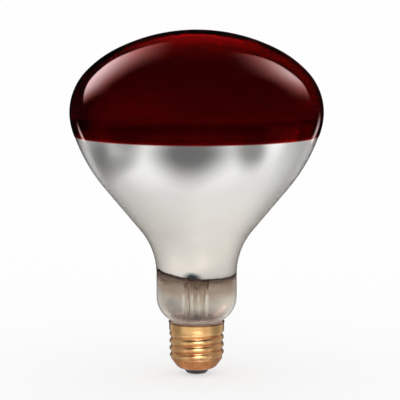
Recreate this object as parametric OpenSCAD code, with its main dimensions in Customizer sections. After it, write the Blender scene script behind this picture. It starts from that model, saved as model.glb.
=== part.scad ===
/* [Bulb glass] */
// Greatest diameter of the blown glass
bulb_d = 123; // [114:1:132]
// Length from the centre contact to the crown of the glass
overall_l = 168.8; // [160:0.2:182]
// Radius of the nearly flat crown
crown_r = 86.5; // [80:0.5:100]
// Radius where the crown begins to turn down
crown_edge_r = 52.4; // [48:0.2:58]
// Radius of the widest, tightly turned part
shoulder_r = 28.6; // [26:0.2:31]
// Radius of the long flank under the shoulder
flank_r = 81.8; // [74:0.2:90]
// Slope of the glass where the crown's edge meets the shoulder, in degrees
shoulder_start_a = 46.7; // [42:0.1:52]
// Slope of the glass where the shoulder meets the flank, in degrees
shoulder_end_a = 107.3; // [104:0.1:111]
// Half angle of the straight cone under the flank, in degrees
cone_a = 39.8; // [37:0.1:42]
// Radius of the hollow sweep between cone and neck
neck_sweep_r = 33.9; // [28:0.1:40]
// Outside diameter of the straight neck
neck_d = 39.3; // [36:0.1:42]
// Height of the neck's lower end above the centre contact
neck_foot_z = 38.8; // [37:0.1:40]
// Radius of the rounded end of the neck above the cap
neck_foot_r = 13.7; // [12.8:0.1:14.4]
// Outside diameter of the glass tail inside the cap
tail_d = 21.8; // [20.8:0.1:22]
// Height of the tail's lower edge
tail_z = 15; // [14:0.1:16]
// Thickness of the glass
glass_t = 1.1; // [0.8:0.05:1.4]

/* [Coatings] */
// Thickness of the ruby coat over the face
ruby_t = 0.2; // [0.1:0.05:0.4]
// How far the ruby coat reaches below the widest part
ruby_drop = 11.3; // [6:0.1:20]
// Thickness of the aluminium mirror inside the bowl
mirror_t = 0.15; // [0.1:0.05:0.3]
// Height of the mirror's lower edge in the neck
mirror_foot_z = 44; // [42:0.5:52]

/* [Screw cap] */
// Diameter over the thread's crests
thread_d = 26.2; // [26:0.05:26.3]
// Depth of the rolled thread
thread_depth = 0.9; // [0.7:0.05:1]
// Turns of thread to the inch
threads_per_inch = 7; // [6:1:8]
// Height of the thread's lower end
thread_foot_z = 8.5; // [8.3:0.1:9]
// Length of the threaded stretch
thread_l = 14; // [13.4:0.1:14.4]
// Outside diameter of the plain collar above the thread
collar_d = 26.4; // [26.35:0.05:26.6]
// Length of the plain collar
collar_l = 3.2; // [2.8:0.1:3.6]
// How far the rolled lip stands out of the collar
lip_w = 0.55; // [0.3:0.05:0.7]
// Thickness of the brass sheet
sheet_t = 0.3; // [0.25:0.01:0.34]
// Diameter of the shell's lower opening
shell_mouth_d = 14.2; // [13.4:0.1:15]
// Height of the shell's lower opening
shell_mouth_z = 3.3; // [3:0.1:3.6]
// Radius to which the shell's lower end is turned in
shell_turn_r = 3.4; // [3:0.1:3.8]
// Slope of the shell's lower cone, in degrees
shell_cone_a = 126; // [123:1:129]

/* [Base insulator and contact] */
// Diameter of the insulator's lower face
insulator_foot_d = 10.4; // [10:0.1:11]
// Height of the insulator's lower face
insulator_foot_z = 1; // [0.8:0.1:1.2]
// Height of the insulator's upper edge
insulator_top_z = 7; // [6.6:0.1:7.2]
// Diameter of the contact's flange
contact_d = 9.4; // [8.6:0.1:9.8]
// Outside diameter of the contact's hollow rivet
rivet_d = 4.6; // [4:0.1:5.2]
// Length of the rivet above the flange
rivet_l = 3.4; // [3:0.1:3.8]
// Thickness of the contact's brass
contact_t = 0.4; // [0.3:0.05:0.5]
// Diameter of the solder's worn flat
solder_flat_d = 4.4; // [3.4:0.1:5]
// Length of the cement ring below the rim
cement_l = 7; // [5:0.5:9]

/* [Stem] */
// Outside diameter of the stem tube
stem_d = 12; // [11:0.1:12.6]
// Thickness of the stem tube's wall
stem_wall = 1; // [0.8:0.05:1.2]
// Height at which the flare becomes a straight tube
flare_top_z = 27; // [25:0.5:29]
// Height over which the stem tube narrows into the pinch
stem_taper_l = 3; // [2:0.1:4]
// Height of the pinch's lower end
press_z = 46; // [45:0.5:48]
// Height of the pinch
press_h = 10; // [9:0.5:12]
// Width of the pinch
press_w = 13.4; // [12.6:0.1:14.4]
// Thickness of the pinch
press_t = 4.6; // [4:0.1:5.2]
// Outside diameter of the exhaust tube
exhaust_d = 4; // [3.4:0.1:4.4]
// Height of the exhaust tube's sealed tip
exhaust_tip_z = 9.4; // [9:0.1:10.5]
// Diameter of the glass rod that carries the hooks
rod_d = 3.2; // [2.6:0.1:3.6]
// Height of the button on top of the rod
button_z = 84; // [80:0.5:88]
// Diameter of the button
button_d = 5.6; // [5:0.1:6.4]

/* [Heat disc] */
// Diameter of the heat disc
disc_d = 32; // [28:0.5:34]
// Thickness of the heat disc
disc_t = 0.5; // [0.3:0.05:0.8]
// Height of the heat disc above the pinch
disc_gap = 5; // [4:0.5:6]
// Length of each crimped sleeve beside the disc
sleeve_l = 2; // [1.5:0.1:2.5]
// Outside diameter of a crimped sleeve
sleeve_d = 2; // [1.8:0.1:2.4]

/* [Leads and filament] */
// Distance between the two seal wires
lead_spread = 8; // [7.6:0.1:8.6]
// Depth to which an inner lead reaches into the pinch
lead_seat_l = 3; // [2:0.1:4]
// Straight stretch of an inner lead above its upper sleeve
lead_straight_l = 4; // [3:0.5:6]
// Diameter of the inner leads
inner_lead_d = 0.9; // [0.7:0.05:1]
// Diameter of the seal wires
seal_wire_d = 0.7; // [0.5:0.05:0.8]
// Diameter of the outer leads
outer_lead_d = 0.5; // [0.4:0.02:0.56]
// Diameter of the fuse link
fuse_d = 0.3; // [0.24:0.02:0.36]
// Height of the fuse link's lower end
fuse_z = 18; // [16:0.5:22]
// Length of the fuse link
fuse_l = 8; // [6:0.5:10]
// Height of the filament above the button
filament_rise = 8; // [6:0.5:10]
// Radius of the ring in which the filament lies
filament_ring_r = 15; // [13:0.5:17]
// Part of a circle that the filament fills, in degrees
filament_sweep_a = 270; // [250:1:280]
// Number of turns in the filament's coil
coil_turns = 42; // [30:1:48]
// Outside diameter of the coil
coil_d = 3; // [2.6:0.1:3.4]
// Diameter of the filament's wire
filament_wire_d = 0.5; // [0.4:0.02:0.56]
// Straight end of the filament
filament_tail = 2; // [1.5:0.1:3]
// Diameter of a filament hook's wire
hook_wire_d = 0.4; // [0.3:0.02:0.5]

/* [Clearances] */
// Free space round a wire in its hole or hook
wire_gap = 0.2; // [0.15:0.01:0.25]
// Free space round a crimped sleeve's bore
crimp_gap = 0.05; // [0.03:0.01:0.08]
// Free space between the cement and the thread's roots
cement_gap = 0.12; // [0.08:0.01:0.2]
// Gap between a lead and the filament's straight end
weld_gap = 0.02; // [0.01:0.01:0.05]

/* [Hidden] */
$fn = 64;
// Sides of the widest turned pieces
round_sides = 96;
// Largest distance between an arc and the straight steps that stand for it
arc_error = 0.012;
inch = 25.4;

// The bulb's outline is a chain of arcs, each tangent to the next. An angle is that of the
// glass's outward normal, counted from straight up, so 90 degrees is a vertical wall.
cone_n = 90 + cone_a;
function normal(a) = [sin(a), cos(a)];
function downhill(a) = [cos(a), -sin(a)];
function steps(r, a0, a1) = max(2, ceil(abs(a1 - a0) / (2 * acos(1 - arc_error / r))));
function arc(c, r, a0, a1) =
    let (n = steps(r, a0, a1)) [for (i = [0:n]) c + r * normal(a0 + (a1 - a0) * i / n)];
function hollow_arc(c, r, a0, a1) =
    let (n = steps(r, a0, a1)) [for (i = [0:n]) c - r * normal(a0 + (a1 - a0) * i / n)];

// Centres, found from the shoulder outwards with the widest part at height 0, then lifted
shoulder_c0 = [bulb_d / 2 - shoulder_r, 0];
edge_c0 = shoulder_c0 - (crown_edge_r - shoulder_r) * normal(shoulder_start_a);
crown_a = asin(edge_c0[0] / (crown_r - crown_edge_r));
crown_c0 = edge_c0 - (crown_r - crown_edge_r) * normal(crown_a);
wide_z = overall_l - crown_c0[1] - crown_r;
lift = [0, wide_z];
crown_c = crown_c0 + lift;
edge_c = edge_c0 + lift;
shoulder_c = shoulder_c0 + lift;
flank_c = shoulder_c - (flank_r - shoulder_r) * normal(shoulder_end_a);
flank_end = flank_c + flank_r * normal(cone_n);
neck_r = neck_d / 2;
sweep_start_r = neck_r + neck_sweep_r - neck_sweep_r * normal(cone_n)[0];
cone_l = (sweep_start_r - flank_end[0]) / downhill(cone_n)[0];
sweep_start = flank_end + cone_l * downhill(cone_n);
sweep_c = sweep_start + neck_sweep_r * normal(cone_n);

// The neck's foot rounds inwards, runs down a short cone and turns into the tail
tail_r = tail_d / 2;
foot_end_a = 143;
tail_turn_r = 2.4;
foot_c = [neck_r - neck_foot_r, neck_foot_z];
foot_end = foot_c + neck_foot_r * normal(foot_end_a);
foot_cone_l = (tail_r + tail_turn_r - tail_turn_r * normal(foot_end_a)[0] - foot_end[0])
    / downhill(foot_end_a)[0];
tail_c = foot_end + foot_cone_l * downhill(foot_end_a) + tail_turn_r * normal(foot_end_a);

// Half section of the bulb, filled to the axis, at a depth t below the outer surface
function bulb_section(t, foot_z) = concat(
    arc(crown_c, crown_r - t, 0, crown_a),
    arc(edge_c, crown_edge_r - t, crown_a, shoulder_start_a),
    arc(shoulder_c, shoulder_r - t, shoulder_start_a, shoulder_end_a),
    arc(flank_c, flank_r - t, shoulder_end_a, cone_n),
    hollow_arc(sweep_c, neck_sweep_r + t, cone_n, 90),
    arc(foot_c, neck_foot_r - t, 90, foot_end_a),
    hollow_arc(tail_c, tail_turn_r + t, foot_end_a, 90),
    [[tail_r - t, foot_z], [0, foot_z]]);
ruby_z = wide_z - ruby_drop;

// Screw shell. One crest passes through crest_z on the right-hand side.
crest_z = 14.75;
thread_pitch = inch / threads_per_inch;
thread_r = thread_d / 2;
root_r = thread_r - thread_depth;
collar_r = collar_d / 2;
collar_z = thread_foot_z + thread_l;
lip_z = collar_z + collar_l;
rim_z = lip_z + lip_w + sheet_t;
// The thread fades out over this share of a pitch, and tucks into the bands beside it
fade_share = 0.4;
thread_tuck = 0.08;
thread_lap = 0.4;
thread_sides = 48;
rows_per_turn = 8;
mouth_r = shell_mouth_d / 2;
turn_c = [mouth_r, shell_mouth_z + shell_turn_r];
turn_end = turn_c + shell_turn_r * normal(shell_cone_a);
foot_band_swell = 0.1;
foot_band_r = root_r + foot_band_swell;
shell_cone_l = (turn_end[0] - foot_band_r) / downhill(shell_cone_a)[0];
shell_cone_end = turn_end - shell_cone_l * downhill(shell_cone_a);

// Stem and its wires
stem_r = stem_d / 2;
stem_bore_r = stem_r - stem_wall;
stem_end_z = press_z - stem_taper_l;
press_top_z = press_z + press_h;
disc_z = press_top_z + disc_gap;
lead_x = lead_spread / 2;
seal_tail_l = 1;
seal_foot_z = stem_end_z - seal_tail_l;
seal_top_z = press_top_z - lead_seat_l;
filament_z = button_z + filament_rise;
hook_count = 5;

function unit(v) = v / norm(v);
function clamp01(x) = min(1, max(0, x));
function ease(x) = let (c = clamp01(x)) c * c * (3 - 2 * c);
function mix(a, b, f) = a + (b - a) * f;
function last(v) = v[len(v) - 1];

// Tube along a list of points. Each ring's first corner points the way of the aim vector.
function tangent(p, i) = unit(p[min(i + 1, len(p) - 1)] - p[max(i - 1, 0)]);
function ring(p, t, aim, r, sides) =
    let (u = unit(aim - (aim * t) * t), v = cross(t, u))
    [for (j = [0:sides - 1]) p + r * (cos(360 * j / sides) * u + sin(360 * j / sides) * v)];
module tube(path, aims, r, sides = 8) {
    n = len(path);
    rings = [for (i = [0:n - 1]) each ring(path[i], tangent(path, i), aims[i], r, sides)];
    walls = [
        for (i = [0:n - 2], j = [0:sides - 1])
            let (k = (j + 1) % sides, a = i * sides)
                each [[a + j, a + sides + j, a + sides + k], [a + j, a + sides + k, a + k]]
    ];
    start = [for (j = [0:sides - 1]) j];
    end = [for (j = [sides - 1:-1:0]) (n - 1) * sides + j];
    polyhedron(rings, concat(walls, [start, end]));
}
// Smooth curve through hand-set points, with both ends straight
function through(p, n = 4) = concat(
    [for (i = [0:len(p) - 2], s = [0:n - 1])
        let (
            a = p[max(i - 1, 0)], b = p[i], c = p[i + 1], d = p[min(i + 2, len(p) - 1)], f = s / n
        )
            b + 0.5 * f * (c - a + f * (2 * a - 5 * b + 4 * c - d + f * (3 * (b - c) + d - a)))],
    [last(p)]);
module wire(points, d, aim) {
    path = through(points);
    tube(path, [for (p = path) aim], d / 2);
}

// Part of the bulb's wall between two depths and two heights
module bulb_band(outer_t, inner_t, z0, z1) {
    rotate_extrude($fn = round_sides)
        intersection() {
            difference() {
                polygon(bulb_section(outer_t, tail_z));
                polygon(bulb_section(inner_t, tail_z - 1));
            }
            translate([0, z0])
                square([bulb_d, z1 - z0]);
        }
}
module glass_envelope() {
    color([0.86, 0.86, 0.84, 0.35])
        bulb_band(0, glass_t, tail_z, overall_l);
}
module ruby_coat() {
    color([0.3, 0, 0.02])
        bulb_band(-ruby_t, 0, ruby_z, overall_l + ruby_t);
}
module mirror_coat() {
    color([0.82, 0.82, 0.81])
        bulb_band(glass_t, glass_t + mirror_t, mirror_foot_z, ruby_z);
}

// The shell's sheet is one thin wall: turned-in mouth, cone, rolled thread, collar and lip.
// The thread is a grid of points whose radius follows a cosine that climbs one pitch a turn.
function thread_fade(z) = ease(min(z - thread_foot_z, collar_z - z) / (fade_share * thread_pitch));
function thread_wave(z, a) =
    (root_r + thread_r) / 2 + thread_depth / 2 * cos(360 * (z - crest_z) / thread_pitch - a);
function thread_end_r(z) = z < (thread_foot_z + collar_z) / 2 ? foot_band_r : collar_r;
function shell_out(z, a) =
    mix(thread_end_r(z) - thread_tuck, thread_wave(z, a), thread_fade(z));
function shell_in(z, a) =
    mix(thread_end_r(z) - sheet_t + thread_tuck, thread_wave(z, a) - sheet_t, thread_fade(z));
module rolled_thread() {
    n = ceil(rows_per_turn * thread_l / thread_pitch);
    heights = concat(
        [thread_foot_z - thread_lap],
        [for (i = [0:n]) mix(thread_foot_z, collar_z, i / n)],
        [collar_z + thread_lap]);
    last_row = len(heights) - 1;
    side = len(heights) * thread_sides;
    points = [
        for (inside = [0, 1], z = heights, j = [0:thread_sides - 1])
            let (a = 360 * j / thread_sides, r = inside == 1 ? shell_in(z, a) : shell_out(z, a))
                [r * cos(a), r * sin(a), z]
    ];
    walls = [
        for (i = [0:last_row - 1], j = [0:thread_sides - 1])
            let (k = (j + 1) % thread_sides, a = i * thread_sides, b = a + thread_sides)
                each [
                    [a + j, b + k, a + k], [a + j, b + j, b + k],
                    [side + a + j, side + a + k, side + b + k], [side + a + j, side + b + k, side + b + j]
                ]
    ];
    ends = [
        for (j = [0:thread_sides - 1])
            let (k = (j + 1) % thread_sides, top = last_row * thread_sides)
                each [
                    [j, k, side + k], [j, side + k, side + j],
                    [top + j, side + top + k, top + k], [top + j, side + top + j, side + top + k]
                ]
    ];
    polyhedron(points, concat(walls, ends));
}
function shell_foot(t) = concat(
    arc(turn_c, shell_turn_r - t, 180, shell_cone_a),
    [shell_cone_end - t * normal(shell_cone_a)]);
module shell_foot_ring() {
    rotate_extrude($fn = round_sides)
        polygon(concat(
            shell_foot(0),
            [[foot_band_r, thread_foot_z], [foot_band_r - sheet_t, thread_foot_z]],
            reverse(shell_foot(sheet_t))));
}
function reverse(v) = [for (i = [len(v) - 1:-1:0]) v[i]];
function lip_arc(r) = [for (a = [90:-15:0]) [collar_r + lip_w - r * cos(a), lip_z + r * sin(a)]];
module collar_and_lip() {
    rotate_extrude($fn = round_sides)
        polygon(concat(
            [[collar_r, collar_z]],
            reverse(lip_arc(lip_w)),
            lip_arc(lip_w + sheet_t),
            [[collar_r - sheet_t, collar_z]]));
}
module screw_shell() {
    color([0.72, 0.5, 0.24])
        union() {
            rolled_thread();
            shell_foot_ring();
            collar_and_lip();
        }
}

// Black glass that fills the shell's foot, below the lip visible, above it bonded to the brass
insulator_chamfer = 0.3;
insulator_rim_w = 0.8;
rivet_land_w = 1;
contact_z = insulator_foot_z - contact_t;
rivet_r = rivet_d / 2;
rivet_top_z = insulator_foot_z + rivet_l;
bonded_end = turn_c + (shell_turn_r - sheet_t) * normal(shell_cone_a);
bonded_l = (insulator_top_z - bonded_end[1]) / downhill(shell_cone_a)[1];
bonded_top = bonded_end + bonded_l * downhill(shell_cone_a);
module insulator() {
    color([0.05, 0.05, 0.07])
        rotate_extrude($fn = round_sides)
            polygon(concat(
                [
                    [rivet_r, insulator_foot_z],
                    [insulator_foot_d / 2 - insulator_chamfer, insulator_foot_z],
                    [insulator_foot_d / 2, insulator_foot_z + insulator_chamfer],
                    [mouth_r, shell_mouth_z]
                ],
                arc(turn_c, shell_turn_r - sheet_t, 180, shell_cone_a),
                [
                    bonded_top,
                    [bonded_top[0] - insulator_rim_w, insulator_top_z],
                    [rivet_r + rivet_land_w, rivet_top_z],
                    [rivet_r, rivet_top_z]
                ]));
}
contact_chamfer = 0.15;
module centre_contact() {
    color([0.7, 0.55, 0.3])
        rotate_extrude()
            polygon([
                [rivet_r - contact_t, contact_z],
                [contact_d / 2 - contact_chamfer, contact_z],
                [contact_d / 2, contact_z + contact_chamfer],
                [contact_d / 2, insulator_foot_z],
                [rivet_r, insulator_foot_z],
                [rivet_r, rivet_top_z],
                [rivet_r - contact_t, rivet_top_z]
            ]);
}
solder_skirt_w = 1.3;
solder_r = solder_flat_d / 2 + solder_skirt_w;
module centre_solder() {
    color([0.62, 0.62, 0.6])
        difference() {
            rotate_extrude()
                polygon([
                    [0, 0],
                    [solder_flat_d / 2, 0],
                    [mix(solder_flat_d / 2, solder_r, 0.6), contact_z * 0.3],
                    [solder_r, contact_z],
                    [rivet_r - contact_t, contact_z],
                    [rivet_r - contact_t, mix(contact_z, rivet_top_z, 0.5)],
                    [0, mix(contact_z, rivet_top_z, 0.6)]
                ]);
            contact_lead_wire();
        }
}

// Cement between the glass tail and the shell, poured round the rim lead
cement_slope_l = 1;
module basing_cement() {
    cement_r = root_r - sheet_t - cement_gap;
    color([0.75, 0.72, 0.64])
        difference() {
            rotate_extrude($fn = round_sides)
                difference() {
                    polygon([
                        [0, lip_z],
                        [collar_r - sheet_t, lip_z],
                        [collar_r - sheet_t, collar_z],
                        [cement_r, collar_z - cement_slope_l],
                        [cement_r, lip_z - cement_l],
                        [0, lip_z - cement_l]
                    ]);
                    polygon(bulb_section(0, tail_z));
                }
            rim_lead_wire();
        }
}

// Stem: a flared tube whose rim is fused to the tail, pinched flat round the seal wires
flare_in_r = tail_r - glass_t;
flare_a = 2 * atan((flare_in_r - stem_r) / (flare_top_z - tail_z));
flare_r = (flare_top_z - tail_z) / sin(flare_a);
flare_c = [stem_r + flare_r, flare_top_z];
function flare_arc(r) = [for (i = [0:12]) flare_c - r * [cos(flare_a * i / 12), sin(flare_a * i / 12)]];
exhaust_r = exhaust_d / 2;
exhaust_bore_r = exhaust_r * 0.6;
module press_outline() {
    hull()
        for (side = [-1, 1])
            translate([side * (press_w - press_t) / 2, 0])
                circle(d = press_t);
}
module stem() {
    inner = flare_arc(flare_r + stem_wall);
    below = 1;
    vent_rise = 1;
    vent_r = exhaust_bore_r * 0.8;
    color([0.82, 0.86, 0.84, 0.5])
        difference() {
            union() {
                rotate_extrude()
                    polygon(concat(
                        [[stem_bore_r, stem_end_z], [stem_r, stem_end_z]],
                        flare_arc(flare_r),
                        [[tail_r, tail_z], [tail_r, tail_z - stem_wall]],
                        [for (i = [len(inner) - 1:-1:0]) inner[i]]));
                hull() {
                    translate([0, 0, stem_end_z - 0.5])
                        cylinder(r = stem_r, h = 0.5);
                    translate([0, 0, press_z])
                        linear_extrude(0.1)
                            press_outline();
                }
                translate([0, 0, press_z])
                    linear_extrude(press_h)
                        press_outline();
            }
            translate([0, 0, stem_end_z - below])
                cylinder(r = stem_bore_r, h = below);
            for (side = [-1, 1])
                translate([side * lead_x, 0, 0]) {
                    translate([0, 0, stem_end_z - below])
                        cylinder(d = seal_wire_d, h = seal_top_z - stem_end_z + below);
                    translate([0, 0, seal_top_z])
                        cylinder(d = inner_lead_d, h = lead_seat_l + below);
                }
            translate([0, 0, stem_end_z - below])
                cylinder(r = exhaust_bore_r, h = below + 2 * vent_rise);
            translate([0, 0, stem_end_z + vent_rise])
                rotate([90, 0, 0])
                    cylinder(r = vent_r, h = stem_d);
        }
}
module exhaust_tube() {
    neck_z = exhaust_tip_z + exhaust_r * 1.4;
    color([0.82, 0.86, 0.84, 0.5])
        rotate_extrude()
            polygon([
                [0, exhaust_tip_z],
                [exhaust_r * 0.25, exhaust_tip_z + 0.1],
                [exhaust_r * 0.6, exhaust_tip_z + exhaust_r * 0.4],
                [exhaust_r * 0.9, exhaust_tip_z + exhaust_r],
                [exhaust_r, neck_z],
                [exhaust_r, stem_end_z],
                [exhaust_bore_r, stem_end_z],
                [exhaust_bore_r, neck_z + exhaust_r * 0.4],
                [0, neck_z]
            ]);
}
button_r = button_d / 2;
module hook_rod() {
    rod_meets_a = 180 - asin(rod_d / button_d);
    color([0.82, 0.86, 0.84, 0.5])
        difference() {
            rotate_extrude()
                polygon(concat(
                    [[0, press_top_z]],
                    [[rod_d / 2, press_top_z]],
                    [for (i = [0:12]) [0, button_z] + button_r * normal(rod_meets_a * (1 - i / 12))]));
            for (i = [1:hook_count])
                hook_wire(i);
        }
}

// Wires. The inner leads rise to the two ends of the filament's ring.
filament_start_a = -90 + (360 - filament_sweep_a) / 2;
function around(a) = [cos(a), sin(a), 0];
function along(a) = [-sin(a), cos(a), 0];
function lead_tip() = filament_ring_r * around(filament_start_a)
    - (filament_tail + inner_lead_d / 2 + weld_gap) * along(filament_start_a);
function lead_path() =
    let (
        tip = lead_tip(), foot = [lead_x, 0, 0], up = [0, 0, 1], low = disc_z + sleeve_l + lead_straight_l,
        end_l = 2 * filament_wire_d
    )
    [
        foot + seal_top_z * up,
        foot + press_top_z * up,
        foot + (disc_z + disc_t + sleeve_l) * up,
        mix(foot, tip, 0.06) + low * up,
        mix(foot, tip, 0.5) + mix(low, filament_z, 0.5) * up,
        mix(foot, tip, 0.97) + mix(low, filament_z, 0.86) * up,
        tip + (filament_z - end_l) * up,
        tip + (filament_z + end_l) * up
    ];
module inner_lead(side) {
    color([0.6, 0.6, 0.58])
        mirror([side < 0 ? 1 : 0, 0, 0])
            wire(lead_path(), inner_lead_d, [0, 1, 0.4]);
}
module seal_wire(side) {
    color([0.6, 0.2, 0.12])
        translate([side * lead_x, 0, seal_foot_z])
            cylinder(d = seal_wire_d, h = seal_top_z - seal_foot_z);
}
fuse_x = 3.2;
fuse_top_z = fuse_z + fuse_l;
module fuse_lead() {
    color([0.72, 0.45, 0.3])
        wire(
            [
                [lead_x, 0, seal_foot_z],
                [lead_x, 0, seal_foot_z - 3],
                [mix(lead_x, fuse_x, 0.8), 0, seal_foot_z - 8],
                [fuse_x, 0, fuse_top_z + 3],
                [fuse_x, 0, fuse_top_z]
            ],
            outer_lead_d, [0, 1, 0]);
}
module fuse_link() {
    color([0.55, 0.55, 0.55])
        translate([fuse_x, 0, fuse_z])
            cylinder(d = fuse_d, h = fuse_l);
}
module contact_lead_wire() {
    wire(
        [
            [fuse_x, 0, fuse_z],
            [fuse_x, 0, fuse_z - 3],
            [fuse_x * 0.9, 0, mix(rivet_top_z, fuse_z, 0.45)],
            [fuse_x * 0.44, 0, mix(rivet_top_z, fuse_z, 0.18)],
            [fuse_x * 0.06, 0, mix(rivet_top_z, fuse_z, 0.04)],
            [0, 0, mix(rivet_top_z, contact_z, 0.15)],
            [0, 0, contact_z + 0.2]
        ],
        outer_lead_d, [0, 1, 0]);
}
module contact_lead() {
    color([0.72, 0.45, 0.3])
        contact_lead_wire();
}
// The rim lead leaves the stem, turns under the flare and climbs between tail and shell
climb_r = (tail_r + root_r - sheet_t) / 2;
rim_points = [
    [-lead_x, 0, seal_foot_z],
    [-lead_x, 0, seal_foot_z - 3],
    [-3.4, 0, seal_foot_z - 10],
    [-3.3, 0, tail_z + 4],
    [-3.2, 1.2, tail_z - 1.4],
    [-2.2, 5.6, tail_z - 3.6],
    [-0.7, climb_r - 1.8, tail_z - 3.8],
    [0, climb_r, tail_z - 2],
    [0, climb_r, tail_z + 2],
    [0, climb_r, collar_z],
    [0, climb_r + 0.1, lip_z - 1.6],
    [0, collar_r - sheet_t - 0.5, lip_z + 0.1],
    [0, collar_r - 0.25, lip_z + lip_w + 0.25],
    [0, collar_r, rim_z + 0.2],
    [0, collar_r + lip_w - 0.25, rim_z + 0.33]
];
module rim_lead_wire() {
    wire(rim_points, outer_lead_d, [1, 0, 0.2]);
}
module rim_lead() {
    color([0.72, 0.45, 0.3])
        rim_lead_wire();
}
// The drop of solder hangs over the lip's edge, and the lead ends square against it
drop_r = 0.8;
drop_out = 0.35;
drop_up = 0.2;
module rim_solder() {
    path = through(rim_points);
    lead_end = last(path);
    way = tangent(path, len(path) - 1);
    color([0.62, 0.62, 0.6])
        difference() {
            translate([0, collar_r + lip_w + drop_out, rim_z + drop_up])
                sphere(r = drop_r);
            translate(lead_end)
                rotate([atan2(way[2], way[1]), 0, 0])
                    translate([-2 * drop_r, -4 * drop_r, -2 * drop_r])
                        cube(4 * drop_r);
            rotate_extrude()
                polygon(concat(
                    [[0, lip_z - 2]],
                    [[collar_r + lip_w + 4 * drop_r, lip_z - 2]],
                    [[collar_r + lip_w + 4 * drop_r, lip_z + lip_w]],
                    [[collar_r + lip_w, lip_z + lip_w]],
                    lip_arc(lip_w + sheet_t),
                    [[0, lip_z]]));
        }
}

// Filament: one wire wound into a coil, and the coil laid round a ring
steps_per_turn = 8;
coil_steps = coil_turns * steps_per_turn;
curl_r = (coil_d - filament_wire_d) / 2;
function curl_size(i) = curl_r * ease(min(i, coil_steps - i) / (0.75 * steps_per_turn));
function curl_aim(i) =
    let (a = filament_start_a + filament_sweep_a * i / coil_steps, f = 360 * i / steps_per_turn)
    cos(f) * around(a) + [0, 0, sin(f)];
function coil_point(i) =
    filament_ring_r * around(filament_start_a + filament_sweep_a * i / coil_steps)
    + [0, 0, filament_z] + curl_size(i) * curl_aim(i);
filament_path = concat(
    [coil_point(0) - filament_tail * along(filament_start_a)],
    [for (i = [0:coil_steps]) coil_point(i)],
    [coil_point(coil_steps) + filament_tail * along(filament_start_a + filament_sweep_a)]);
filament_aims = concat(
    [curl_aim(0)], [for (i = [0:coil_steps]) curl_aim(i)], [curl_aim(coil_steps)]);
filament_gap = min([
    for (i = [0:coil_steps - 5], j = [i + 5:min(coil_steps, i + 2 * steps_per_turn)])
        norm(coil_point(i) - coil_point(j))
]) - filament_wire_d;
echo(str("Least gap of the filament to itself, in mm: ", filament_gap));
module filament() {
    color([0.45, 0.45, 0.47])
        tube(filament_path, filament_aims, filament_wire_d / 2, 6);
}
loop_r = coil_d / 2 + wire_gap + hook_wire_d / 2;
function hook_a(i) = 90 + (i - (hook_count + 1) / 2) * filament_sweep_a / hook_count;
module hook_wire(i) {
    loop_c = [filament_ring_r, filament_z];
    loop_start_a = -49;
    loop_sweep_a = 300;
    loop_steps = 15;
    outward = [
        [button_r * 0.5, button_z + hook_wire_d / 2],
        [button_r * 1.4, button_z],
        [mix(button_r, filament_ring_r, 0.42), button_z + hook_wire_d],
        [mix(button_r, filament_ring_r, 0.8), mix(button_z, filament_z, 0.38)]
    ];
    loop = [
        for (s = [0:loop_steps])
            let (a = loop_start_a + loop_sweep_a * s / loop_steps)
                loop_c + loop_r * [cos(a), sin(a)]
    ];
    path = concat(through(concat(outward, [loop[0]])), [for (s = [1:len(loop) - 1]) loop[s]]);
    rotate([0, 0, hook_a(i)])
        tube([for (p = path) [p[0], 0, p[1]]], [for (p = path) [0, 1, 0]], hook_wire_d / 2, 6);
}
module filament_hook(i) {
    color([0.5, 0.5, 0.5])
        hook_wire(i);
}

// Heat disc, held on the inner leads between crimped sleeves
module heat_disc() {
    color([0.78, 0.74, 0.62])
        difference() {
            translate([0, 0, disc_z])
                cylinder(d = disc_d, h = disc_t, $fn = round_sides);
            translate([0, 0, disc_z - 1])
                cylinder(r = rod_d / 2 + wire_gap, h = disc_t + 2);
            for (side = [-1, 1])
                translate([side * lead_x, 0, disc_z - 1])
                    cylinder(r = inner_lead_d / 2 + wire_gap, h = disc_t + 2);
        }
}
module disc_sleeves(side) {
    color([0.6, 0.6, 0.58])
        for (z = [disc_z - sleeve_l, disc_z + disc_t])
            translate([side * lead_x, 0, z])
                difference() {
                    cylinder(d = sleeve_d, h = sleeve_l);
                    translate([0, 0, -1])
                        cylinder(r = inner_lead_d / 2 + crimp_gap, h = sleeve_l + 2);
                }
}

glass_envelope();
ruby_coat();
mirror_coat();
stem();
exhaust_tube();
hook_rod();
inner_lead(-1);  // inner_lead_left
inner_lead(1);  // inner_lead_right
seal_wire(-1);  // seal_wire_left
seal_wire(1);  // seal_wire_right
fuse_lead();
fuse_link();
contact_lead();
rim_lead();
filament();
filament_hook(1);  // filament_hook_1
filament_hook(2);  // filament_hook_2
filament_hook(3);  // filament_hook_3
filament_hook(4);  // filament_hook_4
filament_hook(5);  // filament_hook_5
heat_disc();
disc_sleeves(-1);  // disc_sleeves_left
disc_sleeves(1);  // disc_sleeves_right
basing_cement();
screw_shell();
insulator();
centre_contact();
centre_solder();
rim_solder();
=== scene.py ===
# %% [markdown]
# # An infrared heat lamp
# The lessons follow the work: the camera, a small language for finishes, the studio, the glass
# bulb with its ruby and mirror coats, the screw cap, the filament, the metals and the hand-over.
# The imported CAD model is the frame. Its nodes stay where they are, and the pieces made here
# are in metres in the same frame, so nothing has to be fitted afterwards.

# %% Load the frame
import math

import bpy
from mathutils import Matrix, Vector


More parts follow.
